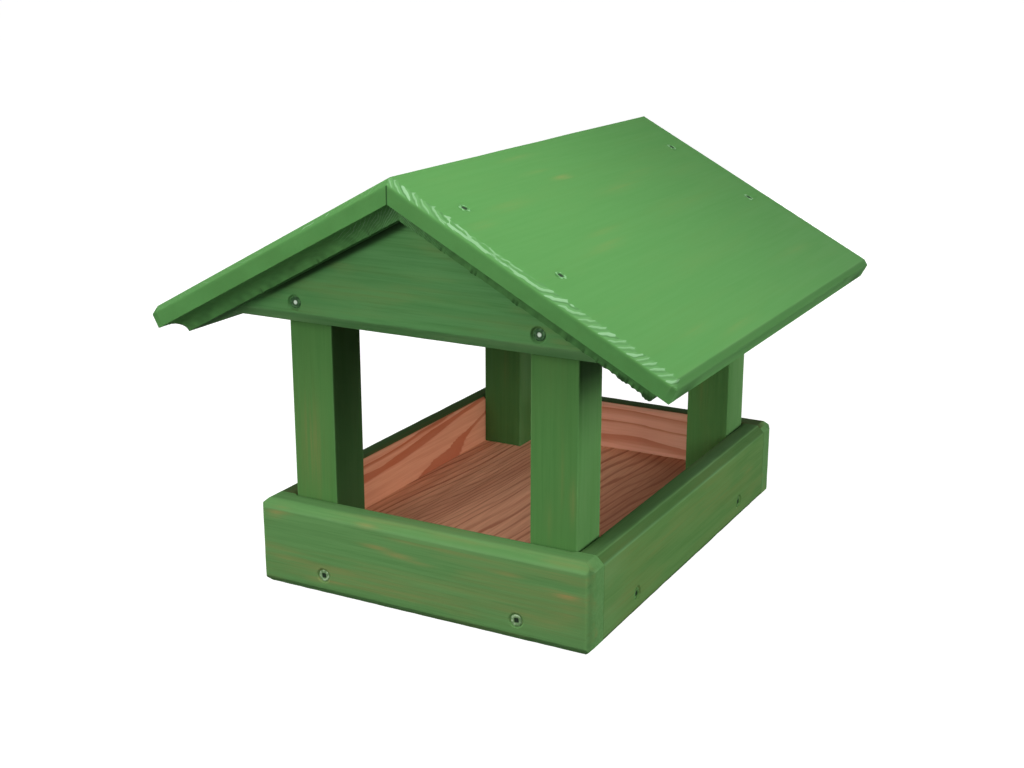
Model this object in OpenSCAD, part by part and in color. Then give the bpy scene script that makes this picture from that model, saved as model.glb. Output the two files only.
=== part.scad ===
// Table bird feeder: a boarded tray, four posts, two gables and a pitched roof of two boards.
// Millimetres, +Z up, front towards -Y, origin under the middle of the tray.

/* [Tray] */
// Outside width of the tray, left to right
tray_width = 227; // [180:1:300]
// Outside depth of the tray, front to back
tray_depth = 302; // [240:1:400]
// Height of the tray boards
tray_height = 56; // [46:1:80]
// Thickness of the tray boards and of the gables
board_thick = 17; // [14:0.5:20]
// Bevel along every outside edge of the tray
tray_bevel = 5; // [2:0.5:7]
// How far the bevel on the upright corners of the tray reaches along the front and the back
corner_bevel = 3; // [1.5:0.5:5]
// Small bevel on the inside top edge of the tray boards
rim_bevel = 2; // [1:0.5:3]
// Thickness of the floor board
floor_thick = 21; // [15:0.5:24]

/* [Posts] */
// Side of the square posts
post_side = 30; // [22:1:40]
// Bevel on the long edges of the posts
post_bevel = 0.5; // [0.5:0.5:4]
// Room left between a post and the roof above it
post_room = 1; // [0.5:0.5:4]

/* [Gables] */
// Clear height of the openings, from the tray up to the gables
opening_height = 114; // [90:1:150]
// How far the tips of the gables reach past the tray on each side
gable_past = 18; // [6:1:30]
// Bevel along the bottom outside edge of the gables
gable_bevel = 7; // [3:0.5:9]

/* [Roof] */
// Slope of the roof in degrees
roof_slope = 28; // [22:0.5:35]
// How far the eaves stand out past the tray on each side
eave_overhang = 57; // [40:1:80]
// How far the roof stands out past the gables, front and back
verge_overhang = 22; // [12:1:45]
// Thickness of the roof boards
roof_thick = 21.5; // [18:0.5:26]
// Bevel along the top edges of the roof boards
roof_bevel = 3.5; // [1.5:0.5:5]
// Radius of the hollow moulding cut into the bottom edges of the roof boards
cove_radius = 9; // [5:0.5:11]
// Flat step between the moulding and the end face
cove_step = 2; // [0.5:0.5:4]

/* [Hidden] */
$fn = 96;
// How far a cutting shape runs past the wood it cuts
overrun = 2;

half_width = tray_width / 2;
half_depth = tray_depth / 2;
inner_width = tray_width - 2 * board_thick;
inner_depth = tray_depth - 2 * board_thick;

// The gables follow the tray, and the roof lies on the gables
gable_lift = tray_height + opening_height;
gable_reach = half_width + gable_past;
apex_height = gable_lift + gable_reach * tan(roof_slope);
ridge_height = apex_height + roof_thick / cos(roof_slope);
roof_run = (half_width + eave_overhang) / cos(roof_slope);
roof_length = tray_depth + 2 * verge_overhang;
half_roof = roof_length / 2;
mitre_reach = roof_thick * tan(roof_slope);

// The posts end just under the roof, where its underside is lowest above them
post_x = inner_width / 2 - post_side / 2;
post_y = inner_depth / 2 - post_side / 2;
post_top = apex_height - inner_width / 2 * tan(roof_slope) - post_room;

wood_green = [0.30, 0.55, 0.27];
wood_plain = [0.78, 0.56, 0.42];

// Which piece to draw

// A rectangle about the origin with its four corners cut: by cut_x along X and by cut_y along Y
module cut_rectangle(wide, high, cut_x, cut_y) {
    polygon([
        [-wide / 2 + cut_x, -high / 2], [wide / 2 - cut_x, -high / 2],
        [wide / 2, -high / 2 + cut_y], [wide / 2, high / 2 - cut_y],
        [wide / 2 - cut_x, high / 2], [-wide / 2 + cut_x, high / 2],
        [-wide / 2, high / 2 - cut_y], [-wide / 2, -high / 2 + cut_y]
    ]);
}

// A square bar along X whose edges stand on the axis lines: the tool for a 45 degree bevel
module bevel_bar(long, cut) {
    rotate([45, 0, 0])
        cube([long, cut * sqrt(2), cut * sqrt(2)], center = true);
}

// The whole tray as one block, with all twelve outside edges bevelled
module tray_block() {
    intersection() {
        linear_extrude(height = tray_height)
            cut_rectangle(tray_width, tray_depth, corner_bevel, tray_bevel);
        translate([0, 0, tray_height / 2])
            rotate([90, 0, 0])
                linear_extrude(height = tray_depth, center = true)
                    cut_rectangle(tray_width, tray_height, tray_bevel, tray_bevel);
        translate([0, 0, tray_height / 2])
            rotate([90, 0, 90])
                linear_extrude(height = tray_width, center = true)
                    cut_rectangle(tray_depth, tray_height, tray_bevel, tray_bevel);
    }
}

// A board across the front: the slice of the block one board thick
module front_slice() {
    difference() {
        intersection() {
            tray_block();
            translate([-half_width, -half_depth, 0])
                cube([tray_width, board_thick, tray_height]);
        }
        translate([0, board_thick - half_depth, tray_height])
            bevel_bar(inner_width, rim_bevel);
    }
}

// A board along the right side, between the front and the back boards
module right_slice() {
    difference() {
        intersection() {
            tray_block();
            translate([half_width - board_thick, -inner_depth / 2, 0])
                cube([board_thick, inner_depth, tray_height]);
        }
        translate([half_width - board_thick, 0, tray_height])
            rotate(90)
                bevel_bar(inner_depth + overrun, rim_bevel);
    }
}

// A post standing on the floor in one inside corner
module post(side_x, side_y) {
    color(wood_green)
        translate([side_x * post_x, side_y * post_y, floor_thick])
            linear_extrude(height = post_top - floor_thick)
                cut_rectangle(post_side, post_side, post_bevel, post_bevel);
}

// The triangle that fills the front end under the roof
module gable_board() {
    difference() {
        translate([0, -half_depth, 0])
            rotate([90, 0, 0])
                mirror([0, 0, 1])
                    linear_extrude(height = board_thick)
                        polygon([
                            [-gable_reach, gable_lift],
                            [gable_reach, gable_lift],
                            [0, apex_height]
                        ]);
        translate([0, -half_depth, gable_lift])
            bevel_bar(2 * gable_reach + overrun, gable_bevel);
    }
}

// The hollow along one bottom edge: a flat step, then a quarter round. X runs along the edge
module cove_tool(long) {
    rotate([0, 90, 0])
        cylinder(r = cove_radius, h = long, center = true);
    translate([-long / 2, 0, -cove_radius])
        cube([long, cove_step + overrun, 2 * cove_radius]);
}

// A roof board lying flat: X from ridge to eave, top face at Z = 0, mitred at the ridge
module flat_roof_board() {
    difference() {
        rotate([90, 0, 0])
            linear_extrude(height = roof_length, center = true)
                polygon([
                    [0, 0],
                    [roof_run - roof_bevel, 0],
                    [roof_run, -roof_bevel],
                    [roof_run, -roof_thick],
                    [mitre_reach, -roof_thick]
                ]);
        for (turn = [0, 180])
            rotate(turn) {
                translate([0, half_roof, 0])
                    bevel_bar(2 * roof_run + overrun, roof_bevel);
                translate([0, half_roof - cove_step, -roof_thick])
                    cove_tool(2 * roof_run + overrun);
            }
        translate([roof_run - cove_step, 0, -roof_thick])
            rotate(-90)
                cove_tool(roof_length + overrun);
    }
}

module tray_front_board() {
    color(wood_green)
        front_slice();
}

module tray_back_board() {
    color(wood_green)
        rotate(180)
            front_slice();
}

module tray_left_board() {
    color(wood_green)
        rotate(180)
            right_slice();
}

module tray_right_board() {
    color(wood_green)
        right_slice();
}

module floor_board() {
    color(wood_plain)
        translate([-inner_width / 2, -inner_depth / 2, 0])
            cube([inner_width, inner_depth, floor_thick]);
}

module post_front_left() {
    post(-1, -1);
}

module post_front_right() {
    post(1, -1);
}

module post_back_left() {
    post(-1, 1);
}

module post_back_right() {
    post(1, 1);
}

module front_gable() {
    color(wood_green)
        gable_board();
}

module back_gable() {
    color(wood_green)
        rotate(180)
            gable_board();
}

module right_roof_board() {
    color(wood_green)
        translate([0, 0, ridge_height])
            rotate([0, roof_slope, 0])
                flat_roof_board();
}

module left_roof_board() {
    color(wood_green)
        rotate(180)
            translate([0, 0, ridge_height])
                rotate([0, roof_slope, 0])
                    flat_roof_board();
}

tray_front_board();
tray_back_board();
tray_left_board();
tray_right_board();
floor_board();
post_front_left();
post_front_right();
post_back_left();
post_back_right();
front_gable();
back_gable();
left_roof_board();
right_roof_board();
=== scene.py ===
# %% [markdown]
# # A garden bird feeder
# The CAD frame holds thirteen pieces of wood at their true sizes, with clean sharp edges.
# This lesson dresses that frame: each board is modelled again with soft edges, screw holes and
# torn end grain. Everything stays in the CAD's own place and size, so nothing has to be fitted by eye.

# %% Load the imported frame
import math

import bpy
import numpy as np
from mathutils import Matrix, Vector


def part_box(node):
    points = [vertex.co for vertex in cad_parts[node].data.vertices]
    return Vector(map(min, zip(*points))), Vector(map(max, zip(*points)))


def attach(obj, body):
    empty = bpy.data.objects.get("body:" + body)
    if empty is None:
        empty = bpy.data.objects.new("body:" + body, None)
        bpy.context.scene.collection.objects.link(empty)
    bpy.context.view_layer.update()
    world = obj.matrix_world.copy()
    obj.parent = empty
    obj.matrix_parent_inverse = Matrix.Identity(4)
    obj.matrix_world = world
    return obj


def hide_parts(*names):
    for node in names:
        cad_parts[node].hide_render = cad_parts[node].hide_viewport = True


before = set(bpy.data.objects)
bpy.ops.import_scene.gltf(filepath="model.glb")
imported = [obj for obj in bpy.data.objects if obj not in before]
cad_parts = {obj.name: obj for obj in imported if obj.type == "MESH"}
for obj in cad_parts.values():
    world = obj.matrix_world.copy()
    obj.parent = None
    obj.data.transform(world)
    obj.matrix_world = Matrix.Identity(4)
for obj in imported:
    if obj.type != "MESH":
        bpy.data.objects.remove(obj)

scene = bpy.context.scene
scene.view_settings.view_transform = "Standard"
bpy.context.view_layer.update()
MM = 0.001

# %% [markdown]
# ## Camera
# The photograph looks down a little on the front right corner.
# Its place and lens were worked out from the corners of the boards, so the picture lines up with the frame.
# A look direction and Blender's own tracking keep the camera level. That is easier to read than three angles.

# %% Camera at the photograph's angle
camera_data = bpy.data.cameras.new("photo_camera")
camera_data.sensor_width = 36.0
camera_data.lens = 52.392
camera = bpy.data.objects.new("photo_camera", camera_data)
camera.location = (0.43308, -0.83534, 0.38151)
look = Vector((-0.45548, 0.84468, -0.28115))
camera.rotation_euler = look.to_track_quat("-Z", "Y").to_euler()
scene.collection.objects.link(camera)
scene.camera = camera
print("camera at", tuple(camera.location), "lens", camera_data.lens)

# %% [markdown]
# ## Shader nodes in few words
# A material is a small network of nodes. Writing one line per node keeps such a network readable.
# The first helper makes a node, sets its options, and either links or fills each input that is named.
# The others give a plain name to the few kinds of node that the finishes use again and again.

# %% Helpers for node networks
def node(tree, kind, feed=None, **options):
    """Adds a node: options set its properties, and feed links or fills its inputs."""
    made = tree.nodes.new(kind)
    for key, value in options.items():
        setattr(made, key, value)
    for key, value in (feed or {}).items():
        if isinstance(value, bpy.types.NodeSocket):
            tree.links.new(value, made.inputs[key])
        else:
            made.inputs[key].default_value = value
    return made


def maths(tree, operation, *values):
    """One Math node; its values are sockets or numbers."""
    feed = dict(enumerate(values))
    return node(tree, "ShaderNodeMath", feed, operation=operation).outputs[0]


def times(tree, first, second):
    """First times second."""
    return maths(tree, "MULTIPLY", first, second)


def times_plus(tree, value, factor, more):
    """Value times factor, plus more."""
    return maths(tree, "MULTIPLY_ADD", value, factor, more)


def blend(tree, share, first, second):
    """A colour between first and second, by a share from 0 to 1."""
    feed = {0: share, 6: first, 7: second}
    return node(tree, "ShaderNodeMix", feed, data_type="RGBA").outputs[2]


def fade(tree, value, low, high, to_low=0.0, to_high=1.0):
    """Maps value from low..high to to_low..to_high with a smooth start and end."""
    feed = {0: value, 1: low, 2: high, 3: to_low, 4: to_high}
    return node(tree, "ShaderNodeMapRange", feed, interpolation_type="SMOOTHSTEP").outputs[0]


def own_place(tree):
    """The point's place in the piece's own coordinates."""
    return node(tree, "ShaderNodeTexCoord").outputs["Object"]


def mark(tree, name):
    """A mark that the mesh carries at each point."""
    return node(tree, "ShaderNodeAttribute", attribute_name=name).outputs["Fac"]


print("node helpers ready")

# %% Helpers for materials and groups
def new_material(name):
    """An empty material: returns it with its node tree and its Principled shader."""
    made = bpy.data.materials.new(name)
    made.use_nodes = True
    return made, made.node_tree, made.node_tree.nodes["Principled BSDF"]


def fill_shader(tree, shader, colour, rough, gloss, height, strength, distance):
    """Links colour, roughness and a bump to the Principled shader. The gloss is one number all over."""
    tree.links.new(colour, shader.inputs["Base Color"])
    tree.links.new(rough, shader.inputs["Roughness"])
    shader.inputs["Specular IOR Level"].default_value = gloss
    bump = node(tree, "ShaderNodeBump", {"Strength": strength, "Distance": distance, "Height": height})
    tree.links.new(bump.outputs[0], shader.inputs["Normal"])


def new_group(name, inputs, outputs):
    """A shader node group with float or vector inputs (name: default) and float outputs."""
    tree = bpy.data.node_groups.new(name, "ShaderNodeTree")
    for label, default in inputs.items():
        kind = "NodeSocketVector" if default is None else "NodeSocketFloat"
        socket = tree.interface.new_socket(label, in_out="INPUT", socket_type=kind)
        if default is not None:
            socket.default_value = default
    for label in outputs:
        tree.interface.new_socket(label, in_out="OUTPUT", socket_type="NodeSocketFloat")
    return tree, node(tree, "NodeGroupInput").outputs, node(tree, "NodeGroupOutput").inputs


def use_group(tree, group, feed):
    """Places a node group and links or fills its inputs."""
    return node(tree, "ShaderNodeGroup", feed, node_tree=group).outputs


print("material helpers ready")

# %% [markdown]
# ## Floor and light
# The photograph has a plain white ground. A wide floor shows white to the camera and keeps a faint shadow.
# To the wood the same floor is grey, so that it doesn't throw light up under the roof.
# Soft square lamps stand in front, to the right and above, and two low ones light the left side and the back.
# Their strength is given as the share of full light that each one lays on a board that faces it.

# %% White floor
WHITE = (1, 1, 1, 1)
FLOOR_SEEN = (0.42, 0.42, 0.42, 1)
FLOOR_TO_WOOD = (0.06, 0.06, 0.06, 1)
FLOOR_REACH = 40.0
FLOOR_DROP = 0.0003


def seen_directly(tree):
    """1 for the camera and for mirrored or refracted views, 0 for light that bounces."""
    path = node(tree, "ShaderNodeLightPath").outputs
    first = maths(tree, "MAXIMUM", path["Is Camera Ray"], path["Is Glossy Ray"])
    return maths(tree, "MAXIMUM", first, path["Is Transmission Ray"])


def mix_shaders(tree, share, first, second):
    """A shader between first and second."""
    return node(tree, "ShaderNodeMixShader", {0: share, 1: first.outputs[0], 2: second.outputs[0]})


corner_signs = [(-1, -1), (1, -1), (1, 1), (-1, 1)]
corner_points = [(a * FLOOR_REACH, b * FLOOR_REACH, -FLOOR_DROP) for a, b in corner_signs]
floor_mesh = bpy.data.meshes.new("studio_floor")
floor_mesh.from_pydata(corner_points, [], [(0, 1, 2, 3)])
floor = bpy.data.objects.new("studio_floor", floor_mesh)
scene.collection.objects.link(floor)
floor_finish, tree, shader = new_material("studio_floor")
tree.nodes.remove(shader)
far = node(tree, "ShaderNodeVectorMath", {0: own_place(tree)}, operation="LENGTH").outputs["Value"]
# The glow is a little weaker near the feeder, so that its shadow shows there
glow_strength = fade(tree, far, 0.30, 0.90, 0.94, 1.0)
glow = node(tree, "ShaderNodeEmission", {"Color": WHITE, "Strength": glow_strength})
pale = node(tree, "ShaderNodeBsdfDiffuse", {"Color": FLOOR_SEEN})
grey = node(tree, "ShaderNodeBsdfDiffuse", {"Color": FLOOR_TO_WOOD})
white = node(tree, "ShaderNodeAddShader", {0: glow.outputs[0], 1: pale.outputs[0]})
top_side = mix_shaders(tree, seen_directly(tree), grey, white)
clear = node(tree, "ShaderNodeBsdfTransparent")
under = node(tree, "ShaderNodeNewGeometry").outputs["Backfacing"]
both = mix_shaders(tree, under, top_side, clear)
tree.links.new(both.outputs[0], tree.nodes["Material Output"].inputs["Surface"])
floor_mesh.materials.append(floor_finish)
print("floor", 2 * FLOOR_REACH, "m wide")

# %% White surroundings
AMBIENT = 0.01
world = bpy.data.worlds.new("studio")
scene.world = world
world.use_nodes = True
backdrop = world.node_tree.nodes["Background"]
backdrop.inputs["Color"].default_value = WHITE
shown = fade(world.node_tree, seen_directly(world.node_tree), 0.0, 1.0, AMBIENT, 1.0)
world.node_tree.links.new(shown, backdrop.inputs["Strength"])
print("surroundings ready, ambient light", AMBIENT)

# %% Soft lamps
# name: azimuth and height in degrees, distance and width in metres, share of full light
LAMPS = {
    "front_soft": (-8, 22, 1.00, 0.50, 0.35),
    "front_low": (-8, 8, 1.00, 0.50, 0.21),
    "front_left_high": (-30, 55, 1.00, 0.50, 0.34),
    "roof_soft": (46, 66, 0.45, 0.25, 0.38),
    "right_soft": (75, 22, 1.00, 0.35, 0.43),
    "right_far": (90, 11, 1.60, 0.40, 0.27),
    "left_low": (-95, 3, 1.40, 0.50, 0.40),
    "back_low": (172, 3, 1.60, 0.60, 0.40),
}
aim = Vector((0, 0, 0.12))
for name, (azimuth, height, distance, width, share) in LAMPS.items():
    turn, lift = math.radians(azimuth), math.radians(height)
    away = Vector((math.sin(turn) * math.cos(lift), -math.cos(turn) * math.cos(lift), math.sin(lift)))
    lamp_data = bpy.data.lights.new(name, "AREA")
    lamp_data.size = width
    lamp_data.energy = share * (math.pi * distance) ** 2
    lamp = bpy.data.objects.new(name, lamp_data)
    lamp.location = aim + away * distance
    lamp.rotation_euler = away.to_track_quat("Z", "Y").to_euler()
    lamp.visible_camera = False
    scene.collection.objects.link(lamp)
print("lamps:", ", ".join(LAMPS))

# %% [markdown]
# ## Boards as surfaces of numbers
# A board is two sheets of points, its outside and its inside, with a wall around the rim.
# Each sheet is a function of two coordinates on a grid, so numpy can work out all its points at once.
# The grid lines close up near edges and screws, where the shape changes quickly, and stay wide in the middle.

# %% Grid lines and soft edges
def grid_lines(low, high, step, fine=()):
    """Lines from low to high about one step apart. Near each (place, reach, gap) they close up to that gap:
    the wanted gap becomes a density, and the running sum of the density is read back at equal counts."""
    x = np.linspace(low, high, 6001)
    gap = np.full(x.size, float(step))
    for at, reach, small in fine:
        gap = np.minimum(gap, small + 0.45 * np.maximum(0, np.abs(x - at) - reach))
    rise = (1 / gap[1:] + 1 / gap[:-1]) / 2 * np.diff(x)
    count = np.concatenate([[0], np.cumsum(rise)])
    return np.interp(np.linspace(0, count[-1], math.ceil(count[-1]) + 1), count, x)


def near_ends(low, high, reach, gap):
    """Finer lines at both ends of a board, for grid_lines."""
    return [(low, reach, gap), (high, reach, gap)]


def step_up(low, high, x):
    """0 below low, 1 above high, with a smooth S between: 3 t squared minus 2 t cubed."""
    t = np.clip((x - low) / (high - low), 0, 1)
    return t * t * (3 - 2 * t)


def bell(x, at, width=0.7):
    """1 at a place and 0 a little way off: e to the minus square of the distance over the width.
    On the distance from an edge, it marks the crease where a bevel starts."""
    return np.exp(-(((x - at) / width) ** 2))


def bevel(depth_in, size, soft=0.3):
    """How far a 45 degree bevel sinks the surface at a distance depth_in from the edge:
    size minus the distance, never below zero, with the corner of that bend rounded over `soft`."""
    return soft * np.logaddexp(0, (size - depth_in) / soft)


def rounding(depth_in, radius=0.5):
    """A quarter circle that rounds an edge over: radius minus the circle's height."""
    inside = np.clip(radius - depth_in, 0, radius)
    return radius - np.sqrt(radius**2 - inside**2)


print("grid helpers ready, for example", grid_lines(0, 10, 2, [(5, 1, 0.5)]).round(2))

# %% Gentle unevenness and worn streaks
def wander(x, seed, length, terms=9):
    """A slow random line along x: a sum of sines with wavelengths around `length`, about 1 high."""
    rng = np.random.default_rng(seed)
    waves = length * rng.uniform(0.4, 2.0, terms)
    starts = rng.uniform(0, 2 * np.pi, terms)
    return sum(np.sin(2 * np.pi * x / w + p) for w, p in zip(waves, starts)) / math.sqrt(terms / 2)


def uneven(u, v, seed, long, wide, terms=14):
    """A random sheet over u and v, about 1 high: slanting sines added up, `long` along u, `wide` along v."""
    rng = np.random.default_rng(seed)
    a = rng.uniform(-1.3, 1.3, terms) * 2 * np.pi / long
    b = rng.uniform(0.4, 1.6, terms) * rng.choice([-1, 1], terms) * 2 * np.pi / wide
    starts = rng.uniform(0, 2 * np.pi, terms)
    return sum(np.sin(p * u + q * v + r) for p, q, r in zip(a, b, starts)) / math.sqrt(terms / 2)


def streaks(u, v, spots):
    """Worn streaks: each (u, v, length, width, strength) is a bell, long along u and narrow along v."""
    total = np.zeros(np.broadcast(u, v).shape)
    for at_u, at_v, long, wide, strength in spots:
        total += strength * np.exp(-(((u - at_u) / long) ** 2) - ((v - at_v) / wide) ** 2)
    return total


print("a wandering line:", wander(np.linspace(0, 40, 5), 1, 20).round(2))

# %% The closed skin of a board
# The shade mark is mostly painted shade, with a few dark spots, joints and crowded rings; on the gable bevel
# the edge mark is painted light
MARKS = ("bare", "edge", "torn", "ring", "end", "shade")


def sheet(x, y, z, bare=0.0, edge=0.0, torn=0.0, ring=0.0, end=0.0, shade=0.0):
    """Stacks coordinates in millimetres and the marks into one grid of points."""
    return np.stack(np.broadcast_arrays(x, y, z, bare, edge, torn, ring, end, shade), -1).astype(float)


def board_skin(outside, inside, rows=4):
    """Joins two sheets of the same grid into a closed skin. Each point is x, y, z and the six marks.
    The wall is a straight blend from the rim of the outside to the rim of the inside, in `rows` strips.
    Gives the points, the quads, and for each quad 0 outside, 1 inside or 2 wall."""
    n, m = outside.shape[:2]
    i, j = np.arange(n), np.arange(m)
    walk_i = np.concatenate([i, np.full(m - 1, n - 1), i[-2::-1], np.zeros(m - 2, int)])
    walk_j = np.concatenate([np.zeros(n, int), j[1:], np.full(n - 1, m - 1), j[-2:0:-1]])
    share = np.linspace(0, 1, rows + 1)[1:-1, None, None]
    wall = outside[walk_i, walk_j] * (1 - share) + inside[walk_i, walk_j] * share
    width = outside.shape[2]
    points = np.concatenate([part.reshape(-1, width) for part in (outside, inside, wall)])
    a = np.arange(n * m).reshape(n, m)
    b = a + n * m
    between = 2 * n * m + np.arange((rows - 1) * walk_i.size).reshape(rows - 1, -1)
    ring = np.vstack([a[walk_i, walk_j], between, b[walk_i, walk_j]])
    after = np.roll(ring, -1, axis=1)
    face_a = np.stack([a[:-1, :-1], a[1:, :-1], a[1:, 1:], a[:-1, 1:]], -1).reshape(-1, 4)
    face_b = np.stack([b[:-1, :-1], b[:-1, 1:], b[1:, 1:], b[1:, :-1]], -1).reshape(-1, 4)
    face_w = np.stack([after[:-1], ring[:-1], ring[1:], after[1:]], -1).reshape(-1, 4)
    quads = np.concatenate([face_a, face_b, face_w])
    side = np.repeat([0, 1, 2], [len(face_a), len(face_b), len(face_w)])
    return points, quads, side


def half_turn(grid):
    """The same grid turned by 180 degrees about the upright axis."""
    turned = grid.copy()
    turned[..., :2] *= -1
    return turned


def paired_skin(sheets, turn, rows):
    """The skin of a board or, where `turn` is set, of its partner on the opposite side."""
    return board_skin(*(half_turn(s) if turn else s for s in sheets), rows=rows)


print("marks at each point:", ", ".join(MARKS))

# %% From a skin to a piece on the frame
def faces_outward(points, quads):
    """Turns all quads over if the volume they enclose, summed as tetrahedra from the origin, is negative."""
    p = points[:, :3][quads]
    halves = np.einsum("ij,ij->i", p[:, 0], np.cross(p[:, 1], p[:, 2]) + np.cross(p[:, 2], p[:, 3]))
    return quads if halves.sum() > 0 else quads[:, ::-1]


def make_piece(name, skin, finishes, stands_for=None, finish_of=None, crease=32):
    """Puts a skin into a mesh, with its marks as attributes, and sets it on the frame."""
    points, quads = skin[:2]
    quads = faces_outward(points, quads)
    mesh = bpy.data.meshes.new(name)
    mesh.from_pydata((points[:, :3] * MM).tolist(), [], quads.tolist())
    for k, label in enumerate(MARKS):
        values = points[:, 3 + k].astype(np.float32)
        mesh.attributes.new(label, "FLOAT", "POINT").data.foreach_set("value", values)
    for finish in finishes:
        mesh.materials.append(finish)
    if finish_of is not None:
        mesh.polygons.foreach_set("material_index", np.asarray(finish_of, dtype=np.int32))
    mesh.polygons.foreach_set("use_smooth", np.ones(len(quads), dtype=bool))
    mesh.set_sharp_from_angle(angle=math.radians(crease))
    mesh.update()
    piece = bpy.data.objects.new(name, mesh)
    scene.collection.objects.link(piece)
    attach(piece, "root")
    if stands_for:
        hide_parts(stands_for)
    print(f"{name}: {len(points)} points, {len(quads)} faces")


def mm_box(name):
    """A CAD node's lowest and highest corner in millimetres."""
    low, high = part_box(name)
    return np.array(low) / MM, np.array(high) / MM


print("the front board lies between", *(corner.round(1) for corner in mm_box("tray_front_board")))

# %% [markdown]
# ## Grain that all the finishes share
# Wood grain is noise that is stretched far along the board. One group makes it at several widths:
# fine lines, bands a centimetre wide, cloudy patches, and hair-fine pores for the bump.
# The vector that enters has its X along the grain, so each material only turns and shifts it.

# %% Grain group
# name: squeeze along the grain, scale, detail and roughness of the noise, and where its fade starts and ends
GRAIN_WIDTHS = {
    "Lines": (0.030, 420, 3.0, 0.60, 0.32, 0.68),
    "Hairs": (0.022, 950, 2.0, 0.55, 0.50, 0.72),
    "Bands": (0.050, 95, 2.0, 0.55, 0.30, 0.70),
    "Patches": (0.230, 42, 3.0, 0.60, 0.30, 0.70),
}
PORES = (0.020, 1500, 2.0, 0.5)


def grain_group():
    """Grain at several widths: each one is noise in coordinates that are squeezed along X, then faded."""
    tree, given, result = new_group(
        "wood_grain", {"Vector": None, "Fineness": 1.0}, [*GRAIN_WIDTHS, "Pores"]
    )

    def noise(squeeze, scale, detail, rough):
        """Noise in coordinates that are squeezed along the grain, so that it stretches along the board."""
        feed = {0: given["Vector"], 1: (squeeze, 1, 1)}
        pulled = node(tree, "ShaderNodeVectorMath", feed, operation="MULTIPLY").outputs[0]
        size = times(tree, given["Fineness"], scale)
        feed = {"Vector": pulled, "Scale": size, "Detail": detail, "Roughness": rough}
        return node(tree, "ShaderNodeTexNoise", feed).outputs[0]

    for label, (*kind, low, high) in GRAIN_WIDTHS.items():
        tree.links.new(fade(tree, noise(*kind), low, high), result[label])
    tree.links.new(noise(*PORES), result["Pores"])
    return tree


GRAIN = grain_group()
TURNS = {"x": (0, 0, 0), "y": (0, 0, -math.pi / 2), "z": (0, math.pi / 2, 0)}


def grain_of(tree, along, start, fineness=1.0):
    """The grain group's outputs, with the board's own direction and start."""
    feed = {"Vector": own_place(tree), "Location": start, "Rotation": TURNS[along]}
    turned = node(tree, "ShaderNodeMapping", feed).outputs[0]
    return use_group(tree, GRAIN, {"Vector": turned, "Fineness": fineness})


print("grain widths:", ", ".join(GRAIN_WIDTHS))

# %% [markdown]
# ## Green stain
# The feeder is brushed with a green stain that lets the grain through. Where it is thin, tan wood shows in
# streaks. Edges are a little paler, and torn end grain is paler still. The marks on the mesh say where those
# places are. A painted picture could do the same, but marks keep their place when the mesh changes.
# Each board gets its own material from one recipe, with its own grain direction and start.

# %% Thin stain and torn fibres
def thin_group():
    """Where the stain is thin: patches broken into streaks by the lines, plus the marked worn spots."""
    inputs = {"Lines": 0.5, "Bands": 0.5, "Patches": 0.5, "Bare": 0.0, "Amount": 0.3}
    tree, given, result = new_group("thin_stain", inputs, ["Wood", "Pale"])
    cloudy = times_plus(tree, given["Bands"], 0.45, times(tree, given["Patches"], 0.70))
    open_share = fade(tree, cloudy, 0.45, 0.95)
    broken = times_plus(tree, given["Lines"], 0.65, 0.35)
    soft = times(tree, times(tree, open_share, broken), given["Amount"])
    spots = times(tree, given["Bare"], times_plus(tree, given["Lines"], 1.3, 0.25))
    wood = node(tree, "ShaderNodeMath", {0: soft, 1: spots}, operation="ADD", use_clamp=True).outputs[0]
    tree.links.new(wood, result["Wood"])
    tree.links.new(times(tree, given["Bands"], maths(tree, "SUBTRACT", 1.0, wood)), result["Pale"])
    return tree


def off_middle(tree, count):
    """How far a ring count lies from the middle of its ring: 0 there and 0.5 at the ring's borders."""
    return maths(tree, "ABSOLUTE", maths(tree, "SUBTRACT", maths(tree, "FRACT", count), 0.5))


def lot(tree, count):
    """A chance value from 0 to 1 that stays the same all over one growth ring."""
    feed = {"W": maths(tree, "FLOOR", count)}
    return node(tree, "ShaderNodeTexWhiteNoise", feed, noise_dimensions="1D").outputs["Value"]


def strokes_group():
    """Torn fibres: each growth ring leaves one stroke, widest in the middle of the torn band and pointed
    at its ends. A stroke is there while the distance from the middle of the ring stays under a share of
    the band's strength. A faint pale ground fills the band, and Groove_shade is painted shade in the
    groove that follows each stroke."""
    tree, given, result = new_group("torn_strokes", {"Ring": 0.0, "Band": 0.0}, ["Stroke", "Groove_shade"])
    band = given["Band"]
    strength = times_plus(tree, lot(tree, given["Ring"]), 0.45, 0.55)
    half_stroke = times(tree, times(tree, band, strength), 0.27)
    over = maths(tree, "SUBTRACT", off_middle(tree, given["Ring"]), half_stroke)
    stroke = times(tree, fade(tree, over, -0.08, 0.06, 1.0, 0.0), fade(tree, band, 0.02, 0.25))
    ground = fade(tree, band, 0.15, 1.0, 0.0, 0.16)
    tree.links.new(maths(tree, "MAXIMUM", times(tree, stroke, strength), ground), result["Stroke"])
    later = maths(tree, "SUBTRACT", given["Ring"], 0.36)
    groove = fade(tree, off_middle(tree, later), 0.06, 0.20, 1.0, 0.0)
    groove = times(tree, groove, fade(tree, band, 0.25, 0.80))
    tree.links.new(times(tree, groove, strength), result["Groove_shade"])
    return tree


THIN = thin_group()
STROKES = strokes_group()
print("groups:", GRAIN.name, THIN.name, STROKES.name)

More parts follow.
